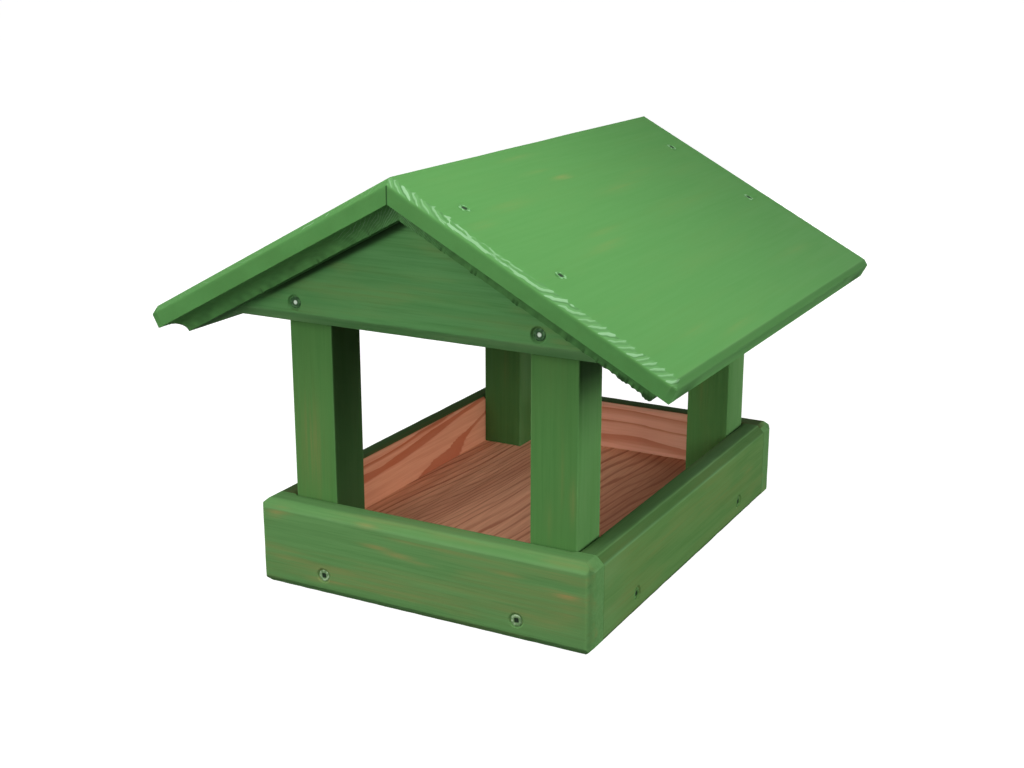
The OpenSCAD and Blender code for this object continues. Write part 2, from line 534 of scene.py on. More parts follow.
# %% Stain recipe
ROOF_GREEN = (0.088, 0.250, 0.070, 1)
GABLE_GREEN = (0.092, 0.249, 0.082, 1)
POST_GREEN = (0.090, 0.229, 0.061, 1)
FRONT_GREEN = (0.130, 0.292, 0.096, 1)
SIDE_GREEN = (0.110, 0.229, 0.064, 1)
GREEN_DEEP = (0.030, 0.118, 0.026, 1)
GREEN_LIGHT = (0.082, 0.240, 0.066, 1)
TAN = (0.350, 0.262, 0.096, 1)
PALE_EDGE = (0.150, 0.315, 0.120, 1)
TORN = (0.228, 0.420, 0.220, 1)
# SHADE is the colour that painted shade blends towards
SHADE = (0.014, 0.036, 0.012, 1)
WOOD_GLOSS = 0.05
STAIN_ROUGH = 0.74
GRAIN_DEPTH = 0.0002


def end_grain(tree, colour, g):
    """Cut ends of a stained board: faint growth rings, blotches, pale torn strokes and painted shade in
    the grooves beside them. Gives the colour and the strokes."""
    ring = mark(tree, "ring")
    late = fade(tree, maths(tree, "FRACT", times_plus(tree, g["Patches"], 0.3, ring)), 0.30, 0.95)
    blotch = times_plus(tree, g["Patches"], 0.22, times(tree, late, 0.06))
    colour = blend(tree, times(tree, blotch, mark(tree, "end")), colour, GREEN_DEEP)
    torn = use_group(tree, STROKES, {"Ring": ring, "Band": mark(tree, "torn")})
    # Painted shade in the groove after each stroke
    colour = blend(tree, times(tree, torn["Groove_shade"], 0.55), colour, GREEN_DEEP)
    return blend(tree, torn["Stroke"], colour, TORN), torn["Stroke"]


def stain(name, along, start, tint, thin, lines, edges=0.6, pale=0.25, hairs=0.2, relief=0.30, ends=False):
    """Green stained wood: grain lines, tan streaks, pale edges, painted shade in hollows and under edges,
    and, if asked, torn ends.
    """
    made, tree, shader = new_material(name)
    g = grain_of(tree, along, start)
    feed = {label: g[label] for label in ("Lines", "Bands", "Patches")}
    cover = use_group(tree, THIN, {**feed, "Bare": mark(tree, "bare"), "Amount": thin})
    colour = blend(tree, times(tree, g["Lines"], lines), tint, GREEN_DEEP)
    colour = blend(tree, times(tree, g["Hairs"], hairs), colour, GREEN_DEEP)
    colour = blend(tree, times(tree, cover["Pale"], pale), colour, GREEN_LIGHT)
    colour = blend(tree, cover["Wood"], colour, TAN)
    patchy = times_plus(tree, g["Patches"], edges, 0.2 * edges)
    colour = blend(tree, times(tree, mark(tree, "edge"), patchy), colour, PALE_EDGE)
    rough = times_plus(tree, g["Lines"], 0.12, STAIN_ROUGH)
    if ends:
        colour, torn = end_grain(tree, colour, g)
        rough = times_plus(tree, torn, 0.20, rough)
    # Painted shade: the shade mark darkens the colour and makes the surface rougher
    shade = mark(tree, "shade")
    colour = blend(tree, shade, colour, SHADE)
    rough = times_plus(tree, shade, 0.35, rough)
    height = times_plus(tree, g["Lines"], -0.7, g["Pores"])
    fill_shader(tree, shader, colour, rough, WOOD_GLOSS, height, relief, GRAIN_DEPTH)
    return made


print("stain recipe ready")

# %% [markdown]
# ## Plain softwood
# The inside of the tray was left without stain. Softwood shows its growth rings: wide pale early wood that
# darkens into a red-brown line of late wood and then starts again. The mesh carries a ring count at each
# point, so the rings can bend into flames as on a flat-sawn board, and the material only colours one ring.

# %% Plain wood recipe
EARLY = (0.757, 0.346, 0.199, 1)
LATE = (0.460, 0.110, 0.045, 1)
WOOD_GREY = (0.700, 0.330, 0.205, 1)
PLANED_ROUGH = 0.55
RING_DEPTH = 0.0003


def rings_group():
    """One growth ring: the fraction of the ring count darkens from Start on and ends in a sharp line.
    Vary makes some rings weaker than others."""
    inputs = {"Ring": 0.0, "Lines": 0.5, "Start": 0.35, "Vary": 0.0, "Shake": 0.05}
    tree, given, result = new_group("growth_rings", inputs, ["Late"])
    shaken = times_plus(tree, given["Lines"], given["Shake"], given["Ring"])
    part = maths(tree, "FRACT", shaken)
    dark = times(tree, fade(tree, part, given["Start"], 0.82), fade(tree, part, 0.94, 1.0, 1.0, 0.0))
    less = times(tree, lot(tree, shaken), given["Vary"])
    tree.links.new(times(tree, dark, maths(tree, "SUBTRACT", 1.0, less)), result["Late"])
    return tree


RINGS = rings_group()


def plain_wood(name, along, start, early=EARLY, late=LATE, ring_start=0.35, vary=0.0, lines=0.26):
    """Planed softwood without stain: growth rings, fine lines and a dry surface."""
    made, tree, shader = new_material(name)
    g = grain_of(tree, along, start, 1.2)
    feed = {"Ring": mark(tree, "ring"), "Lines": g["Lines"], "Start": ring_start, "Vary": vary}
    late_share = use_group(tree, RINGS, feed)["Late"]
    colour = blend(tree, times(tree, late_share, 0.85), early, late)
    colour = blend(tree, times(tree, g["Lines"], lines), colour, late)
    colour = blend(tree, times(tree, g["Hairs"], 0.5 * lines), colour, late)
    # The shade mark darkens towards late wood: crowded rings on the floor, and painted shade under the roof
    colour = blend(tree, mark(tree, "shade"), colour, late)
    colour = blend(tree, times(tree, g["Patches"], 0.20), colour, WOOD_GREY)
    colour = blend(tree, times(tree, mark(tree, "edge"), 0.5), colour, early)
    rough = times_plus(tree, g["Pores"], 0.2, PLANED_ROUGH)
    height = times_plus(tree, late_share, 0.8, g["Pores"])
    fill_shader(tree, shader, colour, rough, WOOD_GLOSS, height, 0.25, RING_DEPTH)
    return made


print("plain wood recipe ready, group", RINGS.name)

# %% [markdown]
# ## Screw holes
# Every joint is held by countersunk screws. Each one presses a small dish into the board.
# The dish is part of the board's own surface, so it catches real shade, and the head is a piece of its own.

# %% Dishes for the screws
HEAD_RADIUS = 3.6
DISH_RADIUS = 4.0


def dishes(u, v, holes, deep):
    """Depth of the screw dishes: flat inside the dish radius, then up a short slope to the surface."""
    depth = np.zeros(np.broadcast(u, v).shape)
    for at_u, at_v in holes:
        away = np.hypot(u - at_u, v - at_v)
        depth = np.maximum(depth, deep * step_up(DISH_RADIUS + 0.9, DISH_RADIUS - 0.1, away))
    return depth


def near_holes(holes, axis):
    """Finer lines round the holes along one axis of the grid, for grid_lines."""
    return [(at, 5.0, 0.4) for at in sorted({hole[axis] for hole in holes})]


print("dishes", 2 * DISH_RADIUS, "mm wide for heads of", 2 * HEAD_RADIUS, "mm")

# %% [markdown]
# ## The tray
# Four boards make the frame of the tray. The front and back boards run the full width, and the side boards
# stand between them. All outside edges have a wide bevel, and the inside top edge only a narrow one.
# The outside and the top are stained, and the inside is left plain, so each board carries two materials.

# %% Sizes of the tray
TRAY_BEVEL = 5.0
CORNER_BEVEL = 3.0
RIM_BEVEL = 2.0
TRAY_DISH = 1.1
FRONT_SCREWS = [(-66.5, 13.6), (66.5, 13.6)]
# How far the stain runs down inside the rim: part of the narrow bevel, or all of it
STAIN_OVER = 0.7
WHOLE_RIM = RIM_BEVEL + 0.1
# How far the plain inside of the front and back boards runs on behind the side boards
PLAIN_PAST = 3.0
# How far a bevel wavers, and how far the planed faces are uneven
NICK = 0.07
WAVY = 0.05
front_low, front_high = mm_box("tray_front_board")
half_width, tray_height = front_high[0], front_high[2]
right_low, right_high = mm_box("tray_right_board")
inner_half_width, inner_half_depth = right_low[0], right_high[1]
post_low, post_high = mm_box("post_front_right")
post_inner_x, post_inner_y = post_low[0], -post_high[1]


def on_top(top_edge):
    """1 on the flat top of a tray board and 0 just below it."""
    return step_up(0.4, 0.0, top_edge)


def stain_reach(x, y, over):
    """How far the stain runs down inside the rim: `over`, and the whole bevel in the posts' corners."""
    corner = (np.abs(x) > post_inner_x) & (np.abs(y) > post_inner_y)
    return np.where(corner, WHOLE_RIM, over)


def above(top_edge, reach):
    """1 where the stain on the inside reaches, with a soft lower border."""
    return step_up(reach + 0.3, reach - 0.3, top_edge)


def rim_bevel(top_edge):
    """The narrow bevel along the inside top edge."""
    return bevel(top_edge, RIM_BEVEL, 0.15)


def two_finishes(skin, over):
    """Finish 1, the plain wood, for faces inside the tray that lie below the stain; finish 0 elsewhere."""
    points, quads, side = skin
    x, y, z = points[quads, :3].mean(axis=1).T
    below = z < tray_height - stain_reach(x, y, over)
    return np.where((side == 1) & below & (np.abs(x) < inner_half_width + PLAIN_PAST), 1, 0)


print("tray", 2 * half_width, "mm wide and", tray_height, "mm high")

# %% Shape of the front and back boards
# How much darker the cut ends are, and the painted shade on the upright corners and the bottom bevel
END_DARKER = 0.08
CORNER_PAINTED_SHADE = 0.26
BOTTOM_PAINTED_SHADE = 0.12


def tray_front(seed, spots, rings, rim_shade, over):
    """Outside and inside sheets of a full-width board. The outside sinks by the largest of its bevels.
    The top face is darkened by `rim_shade` as painted shade, and browner with it, down to `over` inside."""
    x_fine = near_ends(-half_width, half_width, 5.5, 0.45) + near_holes(FRONT_SCREWS, 0)
    z_fine = near_ends(0, tray_height, 5.5, 0.5) + near_holes(FRONT_SCREWS, 1)
    x_lines = grid_lines(-half_width, half_width, 3.0, x_fine)
    x, z = np.meshgrid(x_lines, grid_lines(0, tray_height, 1.2, z_fine), indexing="ij")
    end = half_width - np.abs(x)
    middle = tray_height / 2
    z = middle + (z - middle) * (middle - bevel(end, TRAY_BEVEL)) / middle
    low_edge, top_edge = z, tray_height - z
    size = TRAY_BEVEL + NICK * wander(x, seed, 23.0)
    corner = bevel(end, CORNER_BEVEL) * TRAY_BEVEL / CORNER_BEVEL
    sink = np.maximum.reduce([corner, bevel(low_edge, size), bevel(top_edge, size)])
    sink += rounding(np.minimum(low_edge, top_edge))
    sink += dishes(x, z, FRONT_SCREWS, TRAY_DISH) + WAVY * uneven(x, z, seed + 1, 90, 18)
    edge = np.maximum(bell(top_edge, TRAY_BEVEL), 0.5 * bell(top_edge, 0.0))
    bare = streaks(x, z, spots) + 0.6 * rim_shade**2 * on_top(top_edge)
    cut_end = END_DARKER * step_up(1.0, 0.0, end)
    # Painted shade on the bottom bevel, the top face and the upright corner bevels; the cut ends are a little
    # darker
    bottom = BOTTOM_PAINTED_SHADE * step_up(TRAY_BEVEL + 0.5, TRAY_BEVEL - 0.2, low_edge)
    upright = CORNER_PAINTED_SHADE * bell(end, 0.5 * CORNER_BEVEL, 1.2)
    shade = np.maximum.reduce([bottom, rim_shade * on_top(top_edge), cut_end, upright])
    outside = sheet(x, front_low[1] + sink, z, bare, edge, shade=shade)
    open_part = step_up(inner_half_width + 0.5, inner_half_width - 0.5, np.abs(x))
    rim = rim_bevel(top_edge) * open_part + rounding(top_edge, 0.3)
    reach = stain_reach(x, inner_half_depth, over)
    # The painted shade of the top runs on over the stained rim inside
    stained = np.maximum(rim_shade * above(top_edge, reach), cut_end)
    bare = 0.6 * rim_shade * stained
    return outside, sheet(x, front_high[1] - rim, z, bare, ring=rings(x, z), shade=stained)


print("front board reaches from", front_low.round(1), "to", front_high.round(1))

# %% Rings on the inside of the front and back boards
def count_rings(z, edges):
    """Ring count by height: it starts at 0 and, between each two of the (height, count) edges, rises evenly.
    The heights are curves along the board, so every ring bends with its own pair of edges."""
    total = np.zeros(z.shape)
    for (low, first), (high, second) in zip(edges[:-1], edges[1:]):
        total += (second - first) * np.clip((z - low) / np.maximum(high - low, 0.01), 0, 1)
    return total


def level_rings(x, z):
    """A board with level grain: a broad red band low down, a thin line and a faint band near the top."""
    along = -x
    wave = 0.5 * np.sin(along / 9.0 + 0.6) + 0.4 * np.sin(along / 23.0)
    broad = wave + np.interp(along, [-96, -12, 20, 37, 53, 96], [33.5, 32.3, 32.6, 31.1, 28.7, 25.0])
    thin = 0.8 * wave + np.interp(along, [-96, -12, 20, 40, 96], [43.5, 42.8, 42.2, 40.9, 37.5])
    faint = 0.6 * wave + np.interp(along, [-96, -12, 30, 96], [51.0, 50.5, 49.5, 46.0])
    return count_rings(z, [
        (0 * z, 0.0), (broad - 9.5, 0.30), (broad - 1.5, 0.85), (broad, 1.0),
        (thin - 2.2, 1.35), (thin - 0.6, 1.75), (thin, 2.0),
        (faint - 4.0, 2.35), (faint + 0.8, 2.62), (faint + 2.0, 3.0), (0 * z + 60, 3.3),
    ])


print("rings from floor to rim:", level_rings(np.zeros(5), np.linspace(20, 56, 5)).round(2))

# %% Front and back boards
# Worn spots: along the board, height, length, width, strength
front_spots = [
    (-101, 47.5, 5.5, 2.2, 0.60), (-96, 49.5, 7, 1.2, 0.20), (99.4, 35.6, 7, 1.4, 0.80),
    (88, 37.6, 7, 1.0, 0.24), (-28, 40.2, 9, 1.2, 0.48), (-12, 37.4, 10, 1.4, 0.55),
    (2, 35.5, 9, 1.0, 0.28), (-35, 52, 7, 1.6, 0.36), (-97, 53, 6, 1.4, 0.18),
    (-8, 47.5, 12, 1.8, 0.20), (22, 47.5, 22, 2.4, 0.17), (58, 46.5, 24, 2.6, 0.19),
    (88, 47.0, 18, 2.2, 0.16), (40, 42.5, 22, 1.3, 0.14), (62, 41.0, 9, 1.1, 0.28),
    (-60, 16, 40, 7.0, 0.11), (-92, 22, 18, 6.0, 0.09), (20, 17, 50, 7.0, 0.08),
    (84, 15, 26, 5.0, 0.12), (-62, 11, 14, 1.4, 0.16), (100, 25, 8, 5.0, 0.10),
    (-50, 28, 24, 1.2, 0.09),
]
back_spots = [
    (80, 40, 12, 1.6, 0.3), (-40, 30, 16, 1.4, 0.2), (10, 15, 40, 6.0, 0.08), (-90, 46, 9, 1.8, 0.3),
]
# Painted light: the back board's inside is a paler copy of the plain wood, where little lamp light reaches
BACK_EARLY_PAINTED_LIGHT = (0.960, 0.510, 0.350, 1)
BACK_LATE_PAINTED_LIGHT = (0.600, 0.200, 0.110, 1)
inside_front = plain_wood("plain_front_inside", "x", (0.31, 0.11, 0.07))
inside_back = plain_wood("plain_back_inside_painted_light", "x", (0.17, 0.53, 0.29), early=BACK_EARLY_PAINTED_LIGHT, late=BACK_LATE_PAINTED_LIGHT)
for name, seed, spots, turn, inner, rim_shade in (
    ("tray_front", 11, front_spots, False, inside_front, 0.10),
    ("tray_back", 23, back_spots, True, inside_back, 0.74),
):
    skin = paired_skin(tray_front(seed, spots, level_rings, rim_shade, STAIN_OVER), turn, rows=5)
    start = (seed * 0.37, seed * 0.11, 0.2)
    outer = stain(name + "_stain", "x", start, FRONT_GREEN, thin=0.22, lines=0.16, hairs=0.15)
    make_piece(name, skin, [outer, inner], name + "_board", finish_of=two_finishes(skin, STAIN_OVER))

# %% [markdown]
# ## The sides of the tray
# The side boards have no bevel on their ends, because they butt against the front and back boards.
# A hair of rounding there leaves the fine dark seam that a butt joint shows.
# They are worked out over their length and height, in the same way as the front.

# %% Shape of the side boards
SIDE_SCREWS = [(-86.5, 15.0), (86.5, 15.0)]
# How dark the painted shade makes the bottom and the top bevel of a side board
SIDE_BOTTOM_PAINTED_SHADE = 0.90
SIDE_TOP_BEVEL_PAINTED_SHADE = 0.36


def tray_side(seed, spots, rings, rim_shade, rim_tan, over):
    """Sheets of a side board over its length y and height z, bevelled along the outside top and bottom
    edges. The top face is darkened by `rim_shade` as painted shade, front and back, and browner by
    `rim_tan`, down to `over` inside."""
    y_fine = near_ends(-inner_half_depth, inner_half_depth, 0.8, 0.3) + near_holes(SIDE_SCREWS, 0)
    z_fine = near_ends(0, tray_height, 5.5, 0.5) + near_holes(SIDE_SCREWS, 1)
    y_lines = grid_lines(-inner_half_depth, inner_half_depth, 3.2, y_fine)
    y, z = np.meshgrid(y_lines, grid_lines(0, tray_height, 1.0, z_fine), indexing="ij")
    low_edge, top_edge, end = z, tray_height - z, inner_half_depth - np.abs(y)
    size = TRAY_BEVEL + NICK * wander(y, seed, 26.0)
    sink = np.maximum(bevel(low_edge, size), bevel(top_edge, size))
    sink += rounding(np.minimum(low_edge, top_edge)) + rounding(end, 0.45)
    sink += dishes(y, z, SIDE_SCREWS, TRAY_DISH)
    sink += WAVY * uneven(y, z, seed + 1, 100, 18) * step_up(0, 6, end)
    front_end = step_up(45, 0, y + inner_half_depth) * step_up(TRAY_BEVEL, TRAY_BEVEL + 1, top_edge)
    creases = np.maximum(bell(top_edge, TRAY_BEVEL), bell(top_edge, 0.0))
    edge = np.maximum(creases, 0.32 * front_end)
    along = step_up(-inner_half_depth, inner_half_depth, y)
    along_rim = rim_shade[0] + (rim_shade[1] - rim_shade[0]) * along
    # Painted shade along the bottom, on the top face and on the top bevel
    bottom = SIDE_BOTTOM_PAINTED_SHADE * step_up(TRAY_BEVEL + 1.5, TRAY_BEVEL + 0.2, low_edge)
    upper = step_up(TRAY_BEVEL + 0.4, TRAY_BEVEL - 0.4, top_edge) * step_up(0.2, 1.0, top_edge)
    shade = np.maximum.reduce([bottom, along_rim * on_top(top_edge), SIDE_TOP_BEVEL_PAINTED_SHADE * upper])
    bare = streaks(y, z, spots) + 0.5 * rim_tan * along_rim * on_top(top_edge)
    outside = sheet(right_high[0] - sink, y, z, bare, edge, shade=shade)
    rim = rim_bevel(top_edge) + rounding(top_edge, 0.3)
    # The painted shade of the top runs on over the stained rim inside
    stained = along_rim * above(top_edge, stain_reach(inner_half_width, y, over))
    bare = 0.5 * rim_tan * stained
    return outside, sheet(right_low[0] + rim, y, z, bare, ring=rings(y, z), shade=stained)


def flame_rings(y, z):
    """A flat-sawn board: two red bands along the top that climb to the back, and a flame that rises
    from the floor. Each border is a bent line of heights along the board, plus a slow wave."""
    along = -y
    wave = 0.4 * np.sin(along / 8.0) + 0.5 * np.sin(along / 15.0 + 1.0)
    line = 0.5 * wave + np.interp(
        along, [-134, -58, -40, -11, 6, 134], [50.5, 51.0, 50.7, 52.1, 53.2, 60.0]
    )
    high = 0.6 * wave + np.interp(
        along,
        [-134, -58, -40, -20, 8, 27, 51, 75, 134],
        [44.5, 45.8, 44.5, 47.2, 49.0, 52.0, 54.5, 55.2, 58.0],
    )
    low = 0.5 * wave + np.interp(
        along,
        [-134, -57, -33, -12, 13, 33, 55, 75, 134],
        [38.0, 39.2, 40.4, 41.2, 43.0, 46.3, 49.7, 51.8, 55.5],
    )
    rise = wave + np.interp(
        along,
        [-134, 0, 7, 21, 28, 36, 51, 62, 74, 88, 101, 134],
        [8, 18, 21, 25.5, 29, 30.2, 31.7, 36.2, 37.3, 40.4, 43.6, 52],
    )
    foot = wave + np.interp(along, [-134, 40, 65, 74, 84, 101, 134], [4, 12, 20, 30.5, 35.6, 39.6, 48.5])
    return count_rings(z, [
        (0 * z, 0.0), (foot - 0.5, 0.30), (foot + 1.5, 0.78), (rise - 0.8, 0.90), (rise, 1.0),
        (low - 0.8, 1.32), (low + 0.6, 1.80), (high - 0.6, 1.90), (high + 0.3, 2.0),
        (line - 2.6, 2.30), (line - 0.2, 2.78), (line + 1.0, 3.0), (0 * z + 62, 3.3),
    ])


print("side board reaches from", right_low.round(1), "to", right_high.round(1))

# %% Side boards
right_spots = [
    (-100, 28, 12, 5.0, 0.06), (30, 27, 26, 2.6, 0.10), (22, 30, 12, 1.2, 0.10), (104, 33, 9, 3.0, 0.13),
    (96, 37, 6, 1.2, 0.10), (75, 9, 24, 3.0, 0.12), (58, 12, 10, 1.2, 0.08), (-25, 33, 26, 4.0, 0.06),
    (-60, 33, 20, 3.0, 0.05), (30, 10, 30, 3.0, 0.06), (-125, 36, 5, 2.0, 0.10), (-110, 20, 20, 6.0, 0.05),
]
left_spots = [(60, 40, 14, 1.8, 0.2), (-70, 22, 20, 1.8, 0.16), (0, 12, 40, 6.0, 0.08)]
inside_right = plain_wood("plain_right_inside", "y", (0.71, 0.37, 0.13))
inside_left = plain_wood("plain_left_inside", "y", (0.43, 0.19, 0.59))
for name, seed, spots, turn, inner, rim_shade, rim_tan, over in (
    ("tray_right", 37, right_spots, False, inside_right, (0.42, 0.54), 0.0, WHOLE_RIM),
    ("tray_left", 41, left_spots, True, inside_left, (0.66, 0.66), 1.0, STAIN_OVER),
):
    skin = paired_skin(tray_side(seed, spots, flame_rings, rim_shade, rim_tan, over), turn, rows=5)
    start = (seed * 0.37, seed * 0.11, 0.2)
    outer = stain(name + "_stain", "y", start, SIDE_GREEN, thin=0.15, lines=0.17, edges=0.95)
    make_piece(name, skin, [outer, inner], name + "_board", finish_of=two_finishes(skin, over))

# %% [markdown]
# ## The floor of the tray
# One plain board with its grain from front to back. Its rings were cut nearly upright, so they show as
# narrow stripes that drift a little from side to side. The stripes are counted on the mesh, as on the sides.

# %% Floor board
FLOOR_EARLY = (0.890, 0.453, 0.272, 1)
FLOOR_LATE = (0.380, 0.110, 0.058, 1)
floor_low, floor_high = mm_box("floor_board")


def floor_rings(x, y):
    """Stripes along the board: the distance across, slanted and bent by slow waves, is turned into a
    ring count that runs fast on the left, where the rings are narrow, and slowly to the right.
    Gives the count and the distance."""
    bend = 1.6 * np.sin(y / 37.0 + x / 25.0) + 0.8 * np.sin(y / 14.0 + x / 11.0) * step_up(-45, -10, x)
    across = x - 0.08 * (y + 50) + bend + 0.6 * uneven(y, x, 57, 150, 15)
    places = [-110, -70, -52, -40, -27, -10, 8, 25, 45, 70, 110]
    return np.interp(across, places, [0, 7, 12, 16, 19, 20.6, 22.4, 24.6, 28, 32, 38]), across


x_lines = grid_lines(floor_low[0], floor_high[0], 1.2)
x, y = np.meshgrid(x_lines, grid_lines(floor_low[1], floor_high[1], 3.0), indexing="ij")
inset = np.minimum.reduce([x - floor_low[0], floor_high[0] - x, y - floor_low[1], floor_high[1] - y])
stripes, across = floor_rings(x, y)
# Crowded rings are darker left of the middle and a little beyond; painted shade darkens the right and back
# right
crowded_rings_and_painted_shade = 0.30 * bell(across, -52, 12.0) + 0.14 * step_up(-45, -25, across)
crowded_rings_and_painted_shade += 0.28 * step_up(5, 40, x) + 0.10 * step_up(30, 60, x) * step_up(20, 120, y)
height = floor_high[2] + 0.10 * uneven(y, x, 51, 120, 14) * step_up(0, 8, inset)
top = sheet(x, y, height, ring=stripes, shade=crowded_rings_and_painted_shade)
bottom = sheet(x, y, floor_low[2], ring=stripes)
floor_wood = plain_wood(
    "plain_floor", "y", (0.23, 0.67, 0.41), early=FLOOR_EARLY, late=FLOOR_LATE,
    ring_start=0.60, vary=0.55, lines=0.34,
)
make_piece("tray_floor", board_skin(top, bottom), [floor_wood], "floor_board")

# %% [markdown]
# ## Posts
# Four square laths with their long edges just rounded over stand in the corners of the tray.
# A post could be a cube with a bevel, but then it would carry no marks for its wear.
# So it is treated as a board too: a front sheet, a back sheet, and a wall for its other two sides.

# %% Four posts
POST_ROUND = 0.8


def post_sheets(node_name, seed, spots, dark):
    """Front and back sheets over x and z, with the upright edges rounded over.
    `dark` is painted shade on the front and on the right side, and painted shade darkens the front
    towards the top, under the roof."""
    low, high = mm_box(node_name)
    x_lines = grid_lines(low[0], high[0], 2.5, near_ends(low[0], high[0], 1.0, 0.16))
    x, z = np.meshgrid(x_lines, grid_lines(low[2], high[2], 3.0), indexing="ij")
    side = np.minimum(x - low[0], high[0] - x)
    sink = rounding(side, POST_ROUND)
    edge = bell(side, 0.2, 0.7)
    wave = WAVY * uneven(z, x, seed + 1, 90, 14) * step_up(0, 5, side)
    bare = streaks(z, x - (low[0] + high[0]) / 2, spots)
    # Painted shade on the right side, on the front, and towards the top under the roof
    right = dark[1] * step_up(high[0] - 0.5, high[0], x)
    under_roof = 0.13 * step_up(110, 170, z)
    shade = np.maximum.reduce([right, under_roof, np.full(z.shape, float(dark[0]))])
    front = sheet(x, low[1] + sink + wave, z, bare, edge, shade=shade)
    return front, sheet(x, high[1] - sink - wave, z, 0, edge, shade=right)


# Seed, worn spots (height, place across, length, width, strength) and the painted shade
# on the front and right side of each post
POSTS = {
    "post_front_left": (
        61,
        [(92, -2, 30, 9, 0.15), (92, -5, 24, 1.6, 0.05), (86, 2, 26, 1.4, 0.06), (78, 7, 16, 1.6, 0.05)],
        (0, 0.50),
    ),
    "post_front_right": (
        67, [(84, 12, 12, 1.8, 0.20), (72, -3, 12, 2.0, 0.10), (96, 5, 18, 1.6, 0.08)], (0, 0),
    ),
    "post_back_left": (71, [(80, 2, 20, 3.0, 0.10)], (0.22, 0)),
    "post_back_right": (73, [(90, -4, 22, 3.0, 0.10)], (0.10, 0)),
}
for node_name, (seed, spots, dark) in POSTS.items():
    skin = board_skin(*post_sheets(node_name, seed, spots, dark), rows=8)
    start = (seed * 0.29, seed * 0.13, 0.4)
    finish = stain(
        node_name + "_stain", "z", start, POST_GREEN, thin=0.045, lines=0.14, hairs=0.14, edges=0.35
    )
    make_piece(node_name + "_lath", skin, [finish], node_name)

# %% [markdown]
# ## Gables
# A triangular board closes each end under the roof. Its grain is level, and the bottom outside edge has a
# wide bevel. The grid follows the triangle, so that its rim needs no cutting: the upper lines lean with the
# roof, and the lowest lines stay with the bevel.

# %% Shape of the gables
GABLE_BEVEL = 7.0
GABLE_DISH = 1.7
GABLE_SCREWS = [(-80.0, 183.0), (80.0, 183.0)]
SLOPE = math.radians(28.0)
# The lowest part of a gable, which holds the bevel, and the share of the grid that it takes
FOOT_HEIGHT = 8.0
FOOT_SHARE = 0.3
gable_low, gable_high = mm_box("front_gable")


def gable_sheets(seed, spots):
    """Front and back sheets over x and a share w of the height. The foot takes the first part of w,
    and the rest of the height, which shrinks towards the tips, takes what is left."""
    reach = gable_high[0]
    w_fine = [(0, 0.02, 0.012), (0.27, 0.03, 0.012), (0.48, 0.16, 0.014), (0.95, 0.05, 0.016)]
    x_lines = grid_lines(-reach, reach, 2.8, near_holes(GABLE_SCREWS, 0))
    x, w = np.meshgrid(x_lines, grid_lines(0, 1, 0.040, w_fine), indexing="ij")
    tall = np.maximum(0.25, (reach - np.abs(x)) * math.tan(SLOPE))
    foot = np.minimum(tall, FOOT_HEIGHT)
    rest = np.clip((w - FOOT_SHARE) / (1 - FOOT_SHARE), 0, 1)
    up = foot * np.clip(w / FOOT_SHARE, 0, 1) + (tall - foot) * rest
    z = gable_low[2] + up
    sink = bevel(up, GABLE_BEVEL + 0.06 * wander(x, seed, 29.0)) + rounding(up, 0.4)
    sink += dishes(x, z, GABLE_SCREWS, GABLE_DISH)
    sink += WAVY * uneven(x, z, seed + 1, 110, 16) * step_up(0, 9, up)
    # Painted light: the downward bevel is made paler through the edge mark
    bevel_painted_light = step_up(GABLE_BEVEL + 0.3, GABLE_BEVEL - 0.5, up)
    edge = np.maximum(0.5 * bell(up, GABLE_BEVEL), bevel_painted_light)
    # Painted shadow of the roof on the gable: a dark band under its edge, widest near the apex
    roof_shadow_width = (1.5 + 2.6 * (1 - np.abs(x) / reach)) * (1 - 0.35 * step_up(0, 20, x))
    under_roof = (tall - up) * math.cos(SLOPE) / roof_shadow_width
    shade = 0.88 * step_up(1.5, 0.6, under_roof) * step_up(8, 26, tall)
    front = sheet(x, gable_low[1] + sink, z, streaks(x, z, spots), edge, shade=shade)
    return front, sheet(x, gable_high[1], z)


print("gables from", gable_low.round(1), "to", gable_high.round(1))

# %% Two gables
front_gable_spots = [
    (-47, 209, 10, 2.0, 0.06), (-68, 180, 18, 2.4, 0.10), (-30, 182, 22, 2.2, 0.07), (93, 181, 7, 1.8, 0.14),
    (102, 178, 7, 1.4, 0.14), (20, 186, 36, 2.2, 0.05), (10, 200, 30, 1.6, 0.04),
]
back_gable_spots = [(-50, 190, 20, 2.0, 0.14), (40, 205, 16, 1.8, 0.14)]
for name, node_name, seed, spots, turn in (
    ("gable_front", "front_gable", 83, front_gable_spots, False),
    ("gable_back", "back_gable", 89, back_gable_spots, True),
):
    skin = paired_skin(gable_sheets(seed, spots), turn, rows=4)
    start = (seed * 0.31, seed * 0.17, 0.6)
    finish = stain(name + "_stain", "x", start, GABLE_GREEN, thin=0.11, lines=0.23, hairs=0.27, edges=1.1)
    make_piece(name, skin, [finish], node_name)

# %% [markdown]
# ## Roof boards
# Two thick boards meet in a mitre at the ridge. Their top edges are bevelled, and a hollow moulding runs
# along the bottom edges. The cutter tore the end grain: on the bevel the hard growth rings stand up as pale
# strokes, slanting one way near the ridge, level in the middle and the other way near the eave, because they
# are arcs round the heart of the tree. The strokes come from those arcs, in the shape and in the colour.

# %% Measures of the roof
ROOF_THICK = 21.5
ROOF_BEVEL = 3.5
ROOF_DISH = 0.8
ROOF_SCREWS = [(36.5, -145.5), (102.5, -145.5), (36.5, 145.5), (102.5, 145.5)]
COVE_RADIUS = 9.0
COVE_STEP = 2.0
COVE_END = COVE_STEP + COVE_RADIUS
# How far down the slope the upright ridge end fades out
MITRE_FADE = 40.0
